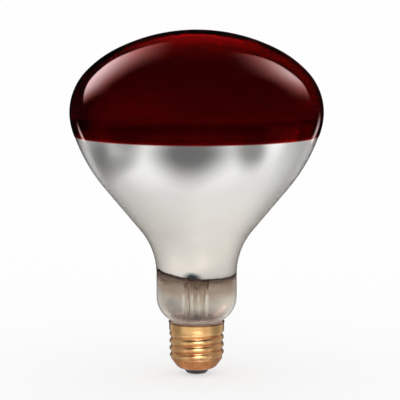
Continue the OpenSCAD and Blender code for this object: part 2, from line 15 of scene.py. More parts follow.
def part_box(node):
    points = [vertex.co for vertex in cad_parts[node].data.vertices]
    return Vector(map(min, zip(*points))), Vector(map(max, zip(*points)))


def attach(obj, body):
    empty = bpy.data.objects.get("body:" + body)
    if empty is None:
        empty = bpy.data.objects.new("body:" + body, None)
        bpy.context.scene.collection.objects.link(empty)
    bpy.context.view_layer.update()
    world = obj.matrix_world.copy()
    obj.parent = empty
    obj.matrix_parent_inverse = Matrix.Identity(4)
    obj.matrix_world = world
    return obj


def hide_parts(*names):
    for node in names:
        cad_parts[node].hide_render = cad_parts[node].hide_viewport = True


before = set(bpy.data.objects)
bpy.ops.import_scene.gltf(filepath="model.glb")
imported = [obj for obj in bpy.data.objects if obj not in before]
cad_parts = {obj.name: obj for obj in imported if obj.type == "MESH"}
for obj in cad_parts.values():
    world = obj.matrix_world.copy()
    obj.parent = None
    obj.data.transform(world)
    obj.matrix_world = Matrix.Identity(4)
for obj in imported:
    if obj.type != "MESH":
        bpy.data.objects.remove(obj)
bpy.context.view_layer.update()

MM = 0.001
glass_low, glass_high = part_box("glass_envelope")
bulb_r = glass_high.x
bulb_top = glass_high.z
print("The bulb is", round(2 * bulb_r / MM, 1), "mm wide")
print("Its crown is", round(bulb_top / MM, 1), "mm up")

# %% [markdown]
# ## The camera
# The photograph looks slightly down on the lamp from about a metre away with a long lens, so
# its sides stay nearly parallel. The lens follows from the distance and from how many pixels
# a metre covers there. A small shift puts the lamp's axis where the photograph has it.

# %% Place the camera
image_side = 400
camera_distance = 0.98
camera_down = math.radians(6.8)
pixels_per_metre = 1 / (0.488 * MM)
axis_pixel = Vector((196.6, 202))
axis_height = 85.1 * MM

camera_data = bpy.data.cameras.new("camera")
camera = bpy.data.objects.new("camera", camera_data)
bpy.context.collection.objects.link(camera)
camera.location = (
    0,
    -camera_distance * math.cos(camera_down),
    axis_height + camera_distance * math.sin(camera_down),
)
camera.rotation_euler = (math.pi / 2 - camera_down, 0, 0)
camera_data.lens = camera_data.sensor_width * camera_distance * pixels_per_metre / image_side
camera_data.shift_x = 0.5 - axis_pixel.x / image_side
camera_data.shift_y = axis_pixel.y / image_side - 0.5
bpy.context.scene.camera = camera
print("The lens is", round(camera_data.lens), "mm long")

# %% [markdown]
# ## A small language for finishes
# A material is a sheet of nodes. Written as plain Python, it reads like a recipe: one class
# wraps an output socket, so that an expression on values adds the Math nodes by itself, and
# one method adds any other node from its type, its settings and its inputs. The other methods
# are short names for the nodes that every recipe uses.


# %% Values
class Value:
    """An output socket on which Python's own signs add Math nodes."""

    def __init__(self, finish, socket):
        self.finish = finish
        self.socket = socket

    def work(self, operation, first, second=0.0):
        return self.finish.add("ShaderNodeMath", {"operation": operation}, {0: first, 1: second})

    def __add__(self, other):
        return self.work("ADD", self, other)

    def __radd__(self, other):
        return self.work("ADD", other, self)

    def __sub__(self, other):
        return self.work("SUBTRACT", self, other)

    def __rsub__(self, other):
        return self.work("SUBTRACT", other, self)

    def __mul__(self, other):
        return self.work("MULTIPLY", self, other)

    def __rmul__(self, other):
        return self.work("MULTIPLY", other, self)

    def __truediv__(self, other):
        return self.work("DIVIDE", self, other)

    def __pow__(self, other):
        return self.work("POWER", self, other)

    def size(self):
        return self.work("ABSOLUTE", self)


# %% Finishes
dark_end, light_end = 0.3, 0.7
oval_core, oval_rim = 0.2, 1.2


class Finish:
    """A material on the Principled shader, with its plain numbers set on the shader's sockets."""

    def __init__(self, name, surface):
        self.material = bpy.data.materials.new(name)
        self.material.use_nodes = True
        self.tree = self.material.node_tree
        self.shader = self.tree.nodes["Principled BSDF"]
        self.set(surface)
        self.place = self.add("ShaderNodeTexCoord", output="Object")
        axes = self.add("ShaderNodeSeparateXYZ", inputs={0: self.place}).socket.node
        self.side, self.depth, self.height = (Value(self, axis) for axis in axes.outputs)

    def feed(self, socket, value):
        if isinstance(value, Value):
            self.tree.links.new(value.socket, socket)
        elif socket.type == "RGBA":
            socket.default_value = (*value, 1.0)
        else:
            socket.default_value = value

    def add(self, kind, settings=None, inputs=None, output=0):
        node = self.tree.nodes.new(kind)
        for name, setting in (settings or {}).items():
            if name == "stops":
                ramp = node.color_ramp
                while len(ramp.elements) < len(setting):
                    ramp.elements.new(1.0)
                for element, (position, colour) in zip(ramp.elements, setting):
                    element.position = position
                    element.color = (*colour, 1.0)
            else:
                setattr(node, name, setting)
        for name, value in (inputs or {}).items():
            self.feed(node.inputs[name], value)
        return Value(self, node.outputs[output])

    def set(self, surface):
        for name, value in surface.items():
            self.feed(self.shader.inputs[name], value)

    def noise(self, size, detail=4.0, rough=0.55, stretch=(1, 1, 1)):
        place = self.add("ShaderNodeMapping", inputs={"Vector": self.place, "Scale": stretch})
        return self.add(
            "ShaderNodeTexNoise",
            inputs={"Vector": place, "Scale": 1 / size, "Detail": detail, "Roughness": rough},
        )

    def rise(self, value, low, high):
        """0 below one level and 1 above the other, with a smooth step between."""
        return self.add(
            "ShaderNodeMapRange",
            {"interpolation_type": "SMOOTHSTEP"},
            {"Value": value, "From Min": low, "From Max": high},
        )

    def fall(self, value, low, high):
        return 1 - self.rise(value, low, high)

    def oval(self, across, along):
        """1 in the middle of a soft oval. Both are a value, its middle and its half width."""
        x, y = ((value - middle) / half_width for value, middle, half_width in (across, along))
        return self.fall((x * x + y * y) ** 0.5, oval_core, oval_rim)

    def ramp(self, value, stops):
        return self.add("ShaderNodeValToRGB", {"stops": stops}, {"Fac": value})

    def tones(self, value, dark, light):
        return self.ramp(value, [(dark_end, dark), (light_end, light)])

    def blend(self, share, first, second):
        return self.add("ShaderNodeMix", {"data_type": "RGBA"}, {0: share, 6: first, 7: second}, 2)

    def veil(self, share, surface):
        """A second surface that covers a share of the first one."""
        second = self.add("ShaderNodeBsdfPrincipled", inputs=surface)
        first = Value(self, self.shader.outputs["BSDF"])
        both = self.add("ShaderNodeMixShader", inputs={0: share, 1: first, 2: second})
        self.tree.links.new(both.socket, self.tree.nodes["Material Output"].inputs["Surface"])

    def bump(self, height, distance, strength=1.0):
        normal = self.add(
            "ShaderNodeBump", inputs={"Height": height, "Distance": distance, "Strength": strength}
        )
        self.set({"Normal": normal})


# %% [markdown]
# ## The studio
# A glossy lamp shows its studio more than itself. The floor and the world are white, and are
# all of it that the camera sees. The rest is seen by reflections or through glass alone: a
# tent of black cloth round the table gives the glass its dark body and its crisp dark rims,
# and cards of light give it its highlights.

# %% Lay the floor and light the world
paper_white = 0.97
paper_grey = 0.4
paper_glow = 0.6
floor_r = 14.0
round_corners = 96
world_strength = 1.0

bpy.context.scene.view_settings.view_transform = "Standard"
world = bpy.context.scene.world or bpy.data.worlds.new("studio")
bpy.context.scene.world = world
world.use_nodes = True
backdrop = world.node_tree.nodes["Background"]
backdrop.inputs["Color"].default_value = (paper_white, paper_white, paper_white, 1)
backdrop.inputs["Strength"].default_value = world_strength

bpy.ops.object.select_all(action="DESELECT")
bpy.ops.mesh.primitive_circle_add(vertices=round_corners, radius=floor_r, fill_type="NGON")
floor = bpy.context.object
floor.name = "floor"
paper = Finish("floor_paper", {"Base Color": (paper_grey,) * 3, "Roughness": 1.0})
paper.set({
    "Specular IOR Level": 0.0, "Emission Color": (1, 1, 1), "Emission Strength": paper_glow,
})
floor.data.materials.append(paper.material)
print("The floor is", 2 * floor_r, "m wide")

# %% [markdown]
# An area light would show in the glass as a plain square. So each light is a card, a plane
# one unit wide that is turned to the lamp and then scaled, and its finish fades on Object
# coordinates, which run from -0.5 to 0.5. Two windows of light stand behind the lamp. Each
# one is a long highlight on the ruby, crisp at its outer edge, fading inwards and at both
# ends, and red where it is faint. Two low lights draw the short bright strokes above the
# silver.


# %% Light that fades
card_end = 0.5
edge_softness = 0.06
first_white = 0.04
window_tint = (1.0, 0.82, 0.8)
fading_tint = (1.0, 0.35, 0.3)


def glow(name, strength):
    """A card's finish: it shines by itself and reflects nothing."""
    black = {"Base Color": (0, 0, 0), "Specular IOR Level": 0.0, "Roughness": 1.0}
    return Finish(name, {**black, "Emission Color": (1, 1, 1), "Emission Strength": strength})


def grey(finish, value):
    return finish.add("ShaderNodeCombineColor", inputs={0: value, 1: value, 2: value})


def fading_glow(name, strength, fade, left_end=-0.05, right_end=0.05, narrow=1.0, white=0.5,
                tint=window_tint):
    """Light that is crisp at the card's lower edge, and fades upwards and at both ends."""
    light = glow(name, strength)
    upwards = light.fall(light.depth, card_end - fade, card_end)
    ends = light.rise(light.side, -card_end, left_end)
    ends = (ends * light.fall(light.side, right_end, card_end)) ** narrow
    crisp = light.rise(light.depth, -card_end, -card_end + edge_softness)
    full = light.rise(upwards * ends, first_white * white, white)
    light.set({
        "Emission Color": light.blend(full, fading_tint, tint),
        "Alpha": upwards * ends * crisp,
    })
    return light


# %% Cards that only reflections see
card_centre = Vector((0, 0, 0.13))


def toward(azimuth, elevation):
    """The direction of an azimuth, 0 toward the camera, and an elevation, in degrees."""
    side, up = math.radians(azimuth), math.radians(elevation)
    return Vector(
        (math.sin(side) * math.cos(up), -math.cos(side) * math.cos(up), math.sin(up))
    )


def only_reflected(stand, direct=True, through_glass=True):
    """Hides a stage piece from all but reflections, or the view through glass, or both."""
    stand.visible_camera = False
    stand.visible_diffuse = False
    stand.visible_glossy = direct
    stand.visible_transmission = through_glass
    stand.visible_volume_scatter = False
    stand.visible_shadow = False


def card(name, azimuth, elevation, distance, size, light, turn=0.0, shift=(0, 0)):
    """A flat card that faces the lamp. Seen from the lamp its x runs right and its y up."""
    out = toward(azimuth, elevation)
    right = out.cross(Vector((0, 0, 1))).normalized()
    up = right.cross(out)
    facing = Matrix((right, up, -out)).transposed().to_4x4()
    middle = card_centre + distance * out + shift[0] * right + shift[1] * up
    bpy.ops.object.select_all(action="DESELECT")
    bpy.ops.mesh.primitive_plane_add(size=1)
    stand = bpy.context.object
    stand.name = name
    stand.matrix_world = (
        Matrix.Translation(middle)
        @ facing
        @ Matrix.Rotation(math.radians(turn), 4, "Z")
        @ Matrix.Diagonal((*size, 1, 1))
    )
    stand.data.materials.append(light.material)
    only_reflected(stand)
    return stand


# %% Hang the tent and the lights
tent_r = 1.7
tent_foot = 0.5 * MM
cloth_glow = 0.004

bpy.ops.object.select_all(action="DESELECT")
bpy.ops.mesh.primitive_uv_sphere_add(segments=64, ring_count=32, radius=tent_r)
tent = bpy.context.object
tent.name = "black_tent"
bpy.ops.object.mode_set(mode="EDIT")
bpy.ops.mesh.select_all(action="SELECT")
bpy.ops.mesh.bisect(plane_co=(0, 0, tent_foot), plane_no=(0, 0, 1), clear_inner=True)
bpy.ops.object.mode_set(mode="OBJECT")
tent.data.materials.append(glow("black_tent_cloth", cloth_glow).material)
only_reflected(tent, through_glass=False)

left_light = fading_glow(
    "left_window_light", strength=5.1, fade=0.9, left_end=-0.12, right_end=-0.03,
    white=0.85, tint=(1.0, 0.67, 0.69),
)
right_light = fading_glow(
    "right_window_light", strength=23.0, fade=0.9, left_end=0.5, right_end=-0.36,
    narrow=1.5, white=0.25,
)
low_left_glow = fading_glow("low_left_glow", strength=3.0, fade=0.9)
low_right_glow = fading_glow("low_right_glow", strength=1.6, fade=0.7)
lights = [
    card("left_window", azimuth=-140, elevation=33, distance=0.9, size=(1.05, 0.63),
         light=left_light, turn=38, shift=(-0.145, 0.09)),
    card("right_window", azimuth=125, elevation=40, distance=0.9, size=(1.1, 0.62),
         light=right_light, turn=-65, shift=(0.072, 0.0)),
    card("low_left_light", azimuth=-121, elevation=-13.5, distance=0.197,
         size=(0.024, 0.045), light=low_left_glow),
    card("low_right_light", azimuth=129, elevation=-9.8, distance=0.193,
         size=(0.04, 0.06), light=low_right_glow),
]
print("Lights hung in the tent:", [light.name for light in lights])

# %% [markdown]
# Glass is lit from behind as well. A card far behind the lamp is as white as the backdrop
# where it is seen straight through the bulb, and brighter above and to the right of that.
# Near the ruby's outline the two curved walls bend the view outwards, into the bright part,
# and this draws the thin red crescent inside the dark rim. The glass stem's round end would
# bend the same light into white spots, so a small grey flag hides it from the neck.

# %% Light the rim from behind
rim_y = 1.0
rim_card_low, rim_card_high, rim_side = 0.005, 0.6, 0.4
over_gain, over_crown = 8, (0.145, 0.19)
high_gain, high_over = 30, (0.2, 0.25)
beside_gain, right_of_bulb, over_neck = 5, (0.1, 0.24), (0.05, 0.085)
top_fade, right_fade, left_fade = (0.25, 0.28), (0.25, 0.3), (0.12, 0.17)
rim = glow("rim_glow", 1.0)
over = over_gain * rim.rise(rim.height, *over_crown)
over = over + high_gain * rim.rise(rim.height, *high_over)
beside = beside_gain * rim.rise(rim.side, *right_of_bulb) * rim.rise(rim.height, *over_neck)
outside = rim.fall(rim.height, *top_fade) * rim.fall(rim.side, *right_fade)
brightness = (1 + over + beside) * outside * rim.fall(0 - rim.side, *left_fade)
rim.set({"Emission Color": grey(rim, brightness)})

bpy.ops.object.select_all(action="DESELECT")
bpy.ops.mesh.primitive_plane_add(size=1)
rim_card = bpy.context.object
rim_card.name = "rim_card"
rim_size = (2 * rim_side, 1, rim_card_high - rim_card_low)
bpy.ops.object.mode_set(mode="EDIT")
bpy.ops.mesh.select_all(action="SELECT")
bpy.ops.transform.rotate(value=math.pi / 2, orient_axis="X", center_override=(0, 0, 0))
bpy.ops.transform.resize(value=rim_size)
bpy.ops.transform.translate(value=(0, 0, (rim_card_high + rim_card_low) / 2))
bpy.ops.object.mode_set(mode="OBJECT")
rim_card.location.y = rim_y
rim_card.data.materials.append(rim.material)
only_reflected(rim_card, direct=False)
print("The rim card is", 2 * rim_side, "m wide, and", rim_y, "m behind the lamp")

# %% Shade the stem
flag_y = 0.15
flag_low, flag_high, flag_side = 0.05, 0.095, 0.03
flag_glow = 0.5
bpy.ops.object.select_all(action="DESELECT")
bpy.ops.mesh.primitive_plane_add(size=1, rotation=(math.pi / 2, 0, 0))
flag = bpy.context.object
flag.name = "stem_flag"
flag.location = (0, flag_y, (flag_low + flag_high) / 2)
flag.scale = (2 * flag_side, flag_high - flag_low, 1)
flag.data.materials.append(glow("flag_glow", flag_glow).material)
only_reflected(flag, direct=False)
print("The flag is", round(2 * flag_side / MM), "mm wide, and", flag_y, "m behind the lamp")

# %% [markdown]
# The silver looks down at the table. It is bright close to the lamp, and further out the room
# shades it. A table card carries the soft tints near the lamp, and a raised card, seen only
# from above, the darker ones, which the neck and the cap look under. Each patch is an azimuth
# and a half width in degrees, a radius and a half depth in metres, and its light. A picture
# would do too, but patches can be moved one by one. The ruby sees only a ring of black cloth
# there. The cap sees a table and a sky of its own below that ring, dim at the sides and
# behind, with a bright window in front for the thread's crests.

# %% Where light and shade lie on the table
table_light = 0.94
table_edge = 0.25
table_fade = 0.1
table_far = 0.12
table_r = 1.2
table_height = 0.1 * MM
patch_core = 0.4
patch_end = 1.5
table_patches = [
    (-27, 70, 0.112, 0.047, 1.21),
    (-77, 69, 0.091, 0.072, 0.75),
    (178, 70, 0.273, 0.280, 0.66),
    (-46, 48, 0.163, 0.092, 1.12),
]
raised_r = 0.4
raised_patches = [
    (-63, 17, 0.165, 0.053, 0.41),
    (49, 16, 0.131, 0.037, 0.30),
    (-6, 32, 0.118, 0.047, 0.165),
    (-83, 25, 0.113, 0.020, 0.40),
    (114, 47, 0.32, 0.19, 0.54),
    (-106, 25, 0.153, 0.046, 0.22),
    (73, 13, 0.255, 0.129, 1.30),
    (152, 22, 0.2, 0.13, 1.25),
    (-149, 20, 0.2, 0.12, 1.3),
]
stand_height = 45 * MM
cap_light = 0.95
cap_sky_light = 0.65
all_round = 1000
# Close to the lamp the cap's table is darker: a painted contact shadow.
cap_near_shadow = (0, all_round, 0.0, 0.035, 0.6)
cap_sky_near = (0, all_round, 0.0, 0.06, 0.4)
cap_shades = [
    (88, 30, 0.2, 1.0, 0.4),
    (-88, 30, 0.2, 1.0, 0.4),
    (180, 50, 0.2, 1.2, 0.08),
]
cap_window = (5, 18, 0.07, 0.03, 2.2)
cap_sky_window = (5, 18, 0.085, 0.05, 5.5)
sky_hole = (0.03, 0.035)
cloth_hole = (0.028, 0.032)
print("Patches on the table and over it:", len(table_patches), "and", len(raised_patches))


# %% Flat cards and their patches
def lay(name, radius, height, finish, direct, through_glass):
    bpy.ops.object.select_all(action="DESELECT")
    bpy.ops.mesh.primitive_circle_add(vertices=round_corners, radius=radius, fill_type="NGON")
    sheet = bpy.context.object
    sheet.name = name
    sheet.location.z = height
    sheet.data.materials.append(finish.material)
    only_reflected(sheet, direct, through_glass)


def polar(finish):
    """The radius and the azimuth in degrees of each point of a card on the table."""
    x, y = finish.side, finish.depth
    return (x * x + y * y) ** 0.5, x.work("ARCTAN2", x, 0 - y) * math.degrees(1)


def patch_mask(finish, where, patch):
    """How much a soft oval patch covers, from its azimuth and radius and its half sizes."""
    radius, azimuth = where
    middle, half_width, middle_r, half_depth = patch
    away = (azimuth - middle).size()
    away = away.work("MINIMUM", away, 360 - away) / half_width
    out = (radius - middle_r) / half_depth
    return finish.fall((away * away + out * out) ** 0.5, patch_core, patch_end)


def patched(name, light, patches, edge=None):
    """A card's finish with soft patches on it, and darker beyond an edge if it has one."""
    finish = glow(name, 1.0)
    where = polar(finish)
    if edge:
        light = light + (table_far - light) * finish.rise(where[0], edge, edge + table_fade)
    for *patch, patch_light in patches:
        light = light + (patch_light - light) * patch_mask(finish, where, patch)
    finish.set({"Emission Color": grey(finish, light)})
    return finish


# %% Lay the cards
table = patched("table_light", table_light, table_patches, table_edge)
lay("table_card", table_r, table_height, table, direct=False, through_glass=True)
cap_table = patched("cap_table_light", cap_light, [cap_near_shadow, *cap_shades, cap_window])
lay("cap_table_card", tent_r, table_height, cap_table, direct=True, through_glass=False)

raised = glow("raised_light", 1.0)
where = polar(raised)
light = 0 * where[0]
bare = 1 + light
no_less = 0.001
for *patch, patch_light in raised_patches:
    inside = patch_mask(raised, where, patch)
    light = light + (patch_light - light) * inside
    bare = bare * (1 - inside)
from_above = 1 - raised.add("ShaderNodeNewGeometry", output="Backfacing")
raised.set({
    "Emission Color": grey(raised, light / (1 + no_less - bare)),
    "Alpha": (1 - bare) * from_above,
})
lay("raised_card", raised_r, stand_height, raised, direct=False, through_glass=True)

cap_sky = patched("cap_sky_light", cap_sky_light, [cap_sky_near, *cap_shades, cap_sky_window])
from_below = cap_sky.add("ShaderNodeNewGeometry", output="Backfacing")
cap_sky.set({"Alpha": from_below * cap_sky.rise(polar(cap_sky)[0], *sky_hole)})
lay("cap_sky_ring", tent_r, stand_height - MM, cap_sky, direct=True, through_glass=False)
black_cloth = glow("black_cloth", cloth_glow)
black_cloth.set({"Alpha": black_cloth.rise(polar(black_cloth)[0], *cloth_hole)})
lay("black_cloth_ring", tent_r, stand_height, black_cloth, direct=True, through_glass=False)

# %% [markdown]
# ## Turning a piece
# Glass bulbs and metal caps are bodies of revolution. As by hand, a single point is extruded
# along the outline, then spun once round the axis. Doubles are merged first, so that the
# normals can be made to point outwards all over.


# %% Draw an outline and spin it
spin_steps = 128
smooth_angle = math.radians(35)
weld = 0.002 * MM


def draw(name, points):
    """Extrudes one vertex from point to point and leaves edit mode on."""
    bpy.ops.object.select_all(action="DESELECT")
    bpy.ops.mesh.primitive_plane_add(size=MM)
    piece = bpy.context.object
    piece.name = name
    bpy.ops.object.mode_set(mode="EDIT")
    bpy.ops.mesh.select_all(action="SELECT")
    bpy.ops.mesh.merge(type="CENTER")
    bpy.ops.transform.translate(value=points[0])
    for here, there in zip(points, points[1:]):
        bpy.ops.mesh.extrude_vertices_move(TRANSFORM_OT_translate={"value": there - here})
    return piece


def close_up(piece):
    """Merges doubles, turns the faces outwards and shades all but the sharp edges smooth."""
    bpy.ops.object.mode_set(mode="EDIT")
    bpy.ops.mesh.select_all(action="SELECT")
    bpy.ops.mesh.remove_doubles(threshold=weld)
    bpy.ops.mesh.normals_make_consistent(inside=False)
    bpy.ops.object.mode_set(mode="OBJECT")
    bpy.ops.object.shade_smooth_by_angle(angle=smooth_angle)
    return piece


def turn(name, outline, steps=spin_steps):
    """Spins an outline of (radius, height) points once round the lamp's axis."""
    piece = draw(name, [Vector((point[0], 0, point[1])) for point in outline])
    bpy.ops.mesh.select_all(action="SELECT")
    bpy.ops.mesh.spin(steps=steps, angle=2 * math.pi, center=(0, 0, 0), axis=(0, 0, 1))
    return close_up(piece)


def settle(piece, finish, slot, *nodes):
    """Gives a finished piece its material and its place in the frame."""
    piece.data.materials.clear()
    piece.data.materials.append(finish.material)
    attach(piece, "root")
    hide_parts(*nodes)
    print(piece.name, "has", len(piece.data.polygons), "faces")


# %% [markdown]
# ## The bulb
# A blown bulb has no corner, and a curve drawn by eye would ripple in the reflections. So its
# outline is a chain of arcs, each tangent to the next, from the flat crown over the tight
# shoulder down the cone, through the hollow sweep into the neck. The angles are those of the
# outward normal, counted from straight up.

# %% Measure the glass
crown_r = 86.5 * MM
crown_edge_r = 52.4 * MM
shoulder_r = 28.6 * MM
flank_r = 81.8 * MM
neck_sweep_r = 33.9 * MM
neck_foot_r = 13.7 * MM
tail_turn_r = 2.4 * MM
neck_r = 19.65 * MM
neck_foot_z = 38.8 * MM
tail_r = 10.9 * MM
glass_t = 1.1 * MM
mirror_t = 0.15 * MM
coat_bite = 0.02 * MM
mirror_overlap = 0.4 * MM
outline_step = 2.2 * MM
least_steps = 3
shoulder_start_a = math.radians(46.7)
shoulder_end_a = math.radians(107.3)
cone_a = math.radians(90 + 39.8)
foot_end_a = math.radians(143)
upright = math.radians(90)
print("The neck is", round(2 * neck_r / MM, 1), "mm wide and the glass", glass_t / MM, "mm thick")


# %% Join the arcs
def outward(angle):
    return Vector((math.sin(angle), math.cos(angle)))


def downhill(angle):
    return Vector((math.cos(angle), -math.sin(angle)))


def arc(centre, radius, start, end, side=1, nominal=None):
    """Points on an arc, with as many steps at every depth in the glass."""
    span = (nominal or radius) * abs(end - start)
    count = max(least_steps, math.ceil(span / outline_step))
    return [
        centre + side * radius * outward(start + (end - start) * step / count)
        for step in range(count + 1)
    ]


shoulder_flat = Vector((bulb_r - shoulder_r, 0))
edge_flat = shoulder_flat - (crown_edge_r - shoulder_r) * outward(shoulder_start_a)
crown_a = math.asin(edge_flat.x / (crown_r - crown_edge_r))
crown_flat = edge_flat - (crown_r - crown_edge_r) * outward(crown_a)
lift = Vector((0, bulb_top - crown_flat.y - crown_r))
crown_c = crown_flat + lift
edge_c = edge_flat + lift
shoulder_c = shoulder_flat + lift
flank_c = shoulder_c - (flank_r - shoulder_r) * outward(shoulder_end_a)
flank_end = flank_c + flank_r * outward(cone_a)
sweep_start_r = neck_r + neck_sweep_r - neck_sweep_r * outward(cone_a).x
cone_l = (sweep_start_r - flank_end.x) / downhill(cone_a).x
sweep_c = flank_end + cone_l * downhill(cone_a) + neck_sweep_r * outward(cone_a)
foot_c = Vector((neck_r - neck_foot_r, neck_foot_z))
foot_end = foot_c + neck_foot_r * outward(foot_end_a)
foot_cone_l = (tail_r + tail_turn_r - tail_turn_r * outward(foot_end_a).x - foot_end.x)
foot_cone_l /= downhill(foot_end_a).x
tail_c = foot_end + foot_cone_l * downhill(foot_end_a) + tail_turn_r * outward(foot_end_a)
bulb_arcs = [
    (crown_c, crown_r, 0, crown_a, 1),
    (edge_c, crown_edge_r, crown_a, shoulder_start_a, 1),
    (shoulder_c, shoulder_r, shoulder_start_a, shoulder_end_a, 1),
    (flank_c, flank_r, shoulder_end_a, cone_a, 1),
    (sweep_c, neck_sweep_r, cone_a, upright, -1),
    (foot_c, neck_foot_r, upright, foot_end_a, 1),
    (tail_c, tail_turn_r, foot_end_a, upright, -1),
]
print("The straight side of the cone is", round(cone_l / MM, 1), "mm long")


# %% Cut sections from the outline
def bulb_outline(depth):
    """The outline at a depth below the outer surface, from the crown's middle to the tail."""
    points = []
    for centre, radius, start, end, side in bulb_arcs:
        stretch = arc(centre, radius - side * depth, start, end, side, radius)
        joined = points and (points[-1] - stretch[0]).length < weld
        points += stretch[1:] if joined else stretch
    points.append(Vector((tail_r - depth, glass_low.z)))
    points[0].x = 0
    return points


def between(points, low, high):
    """The stretch of a falling outline between two heights, cut square at both."""
    kept = []
    for here, there in zip(points, points[1:]):
        for cut in (high, low):
            if here.y > cut > there.y:
                kept.append(here.lerp(there, (here.y - cut) / (here.y - there.y)))
        if low <= there.y <= high:
            kept.append(there)
    if points[0].y <= high:
        kept.insert(0, points[0])
    return kept


def wall(outer_depth, inner_depth, low, high):
    """A closed section between two depths. A ring ends where it began."""
    outside = between(bulb_outline(outer_depth), low, high)
    inside = between(bulb_outline(inner_depth), low, high)
    section = outside + inside[::-1]
    return section if outside[0].x == 0 else section + [outside[0]]


# %% [markdown]
# The glass and its two coats are cut from the same outline at other depths. Each coat bites a
# hair into the glass, because a gap of air between them would reflect like a mirror. The
# mirror also reaches a little way up behind the ruby, so no line of light shows between them.

# %% Spin the glass and its coats
ruby_low, ruby_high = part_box("ruby_coat")
mirror_low, mirror_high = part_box("mirror_coat")
ruby_t = ruby_high.z - bulb_top
above = 1.0
glass_bulb = turn("glass_bulb", wall(0, glass_t, glass_low.z, above))
ruby_face = turn("ruby_face", wall(-ruby_t, coat_bite, ruby_low.z, above))
mirror_top = mirror_high.z + mirror_overlap
mirror_lining = turn(
    "mirror_lining", wall(glass_t - coat_bite, glass_t + mirror_t, mirror_low.z, mirror_top)
)
glass_bulb.visible_shadow = False
print("The ruby coat ends at", round(ruby_low.z / MM, 2), "mm")
print("The mirror ends at", round(mirror_low.z / MM, 2), "mm")

# %% [markdown]
# ## Clear glass
# Soda glass with a faint warm grey, and a breath of unevenness from the blowing. Its neck is
# not clean. A warm haze lies in it, scorched brown below the mirror. On one side, in front, the
# haze is a darker grey, and the other side is nearly clear. In front, four lighter streaks are
# painted into the haze: painted highlights, in place of the light on the edges of the glass
# stem behind. Next to the cap a pale matt second surface covers part of the first: painted
# light over the shaded inside of the collar. It hides what is behind it, where haze would only
# tint it.

# %% Name the tones and places in the glass
clean = (0.97, 0.965, 0.95)
haze_tones = (0.72, 0.68, 0.62), (0.87, 0.81, 0.74)
haze_top = (46 * MM, 51 * MM)
scorch = (0.57, 0.46, 0.37)
scorch_rise = (38.5 * MM, 45 * MM)
scorch_sag, scorch_tilt = 0.08, 0.05
wander_reach = 3 * MM
clear_share, clear_tone = 0.65, (1.0, 0.96, 0.88)
clear_side, clear_height = (15 * MM, 8 * MM), (34 * MM, 9 * MM)
grey_patch_share, grey_patch_tone = 0.8, (0.43, 0.44, 0.43)
grey_patch_side, grey_patch_height = (-12 * MM, 6.5 * MM), (35.5 * MM, 6 * MM)
front_depth = (-14 * MM, -9 * MM)
# Four lighter streaks on the front glass are painted highlights, in place of the light on the
# stem's edges.
stem_highlight_tone = (1.0, 0.97, 0.92)
stem_highlight_foot, stem_highlight_top = (32 * MM, 34 * MM), (41 * MM, 43.5 * MM)
stem_highlight_core = 0.3
stem_highlight_places = [
    (-6.2 * MM, 1.2 * MM),
    (-2.2 * MM, 0.9 * MM),
    (0.9 * MM, 0.9 * MM),
    (5.0 * MM, 1.3 * MM),
]
speck_levels = (0.68, 0.74)
# The tone and heights of the pale veil next to the cap, which is painted light.
painted_light_tone, painted_light_fade = (0.95, 0.82, 0.74), (27 * MM, 30.5 * MM)
print("The haze lies below", round(haze_top[1] / MM), "mm, with", len(stem_highlight_places), "clear runs")

# %% Finish the glass
clear_glass = Finish("clear_glass", {"Transmission Weight": 1.0, "IOR": 1.5})
side, depth, height = clear_glass.side, clear_glass.depth, clear_glass.height
mist = clear_glass.noise(7 * MM, detail=3.0, stretch=(1, 1, 0.5))
wander = clear_glass.noise(2 * MM, detail=4.0, stretch=(0.3, 0.3, 1.2))
specks = clear_glass.rise(clear_glass.noise(0.7 * MM, detail=2.0), *speck_levels)
front = clear_glass.fall(depth, *front_depth)

haze = clear_glass.tones(mist, *haze_tones)
scorch_level = height - scorch_sag * depth + scorch_tilt * side + (wander - 0.5) * wander_reach
haze = clear_glass.blend(clear_glass.rise(scorch_level, *scorch_rise), haze, scorch)
cleared = clear_glass.oval((side, *clear_side), (height, *clear_height))
haze = clear_glass.blend(clear_share * cleared, haze, clear_tone)
# The haze is a darker grey on one side, in front.
grey_patch = clear_glass.oval((side, *grey_patch_side), (height, *grey_patch_height))
haze = clear_glass.blend(grey_patch_share * front * grey_patch, haze, grey_patch_tone)
# The lighter streaks in the haze, in front only, are painted highlights.
runs_of_painted_light = 0 * mist
for middle, half_width in stem_highlight_places:
    runs_of_painted_light = runs_of_painted_light + clear_glass.fall((side - middle).size() / half_width, stem_highlight_core, 1.0)
stem_highlight_length = clear_glass.rise(height + wander * wander_reach, *stem_highlight_foot)
stem_highlight_length = stem_highlight_length * clear_glass.fall(height, *stem_highlight_top)
haze = clear_glass.blend(runs_of_painted_light * stem_highlight_length * front, haze, stem_highlight_tone)

clear_glass.set({
    "Base Color": clear_glass.blend(clear_glass.fall(height, *haze_top), clean, haze),
    "Roughness": 0.012 + 0.25 * specks,
})
clear_glass.bump(clear_glass.noise(22 * MM, detail=1.0), 0.4 * MM, 0.25)
# The pale matt veil next to the cap is painted light over the shaded inside of the collar.
painted_light_share = clear_glass.fall(height, *painted_light_fade) * (0.2 + 0.4 * mist)
clear_glass.veil(painted_light_share, {"Base Color": painted_light_tone, "Roughness": 1.0})
settle(glass_bulb, clear_glass, "clear_glass", "glass_envelope")

# %% [markdown]
# ## The ruby
# The ruby is a stain in the glass: deep red where light goes through it, and as glossy as the
# rest. It is thin, so its surface carries the tint, where thick glass would need a volume. It
# is a little lighter at the crown and near its foot. A lighter red patch at the left is a
# painted reflection, and in front only the last two millimetres are painted into a brighter
# red line above the silver: a painted glow.

# %% Finish the ruby
stain_wander = 8 * MM
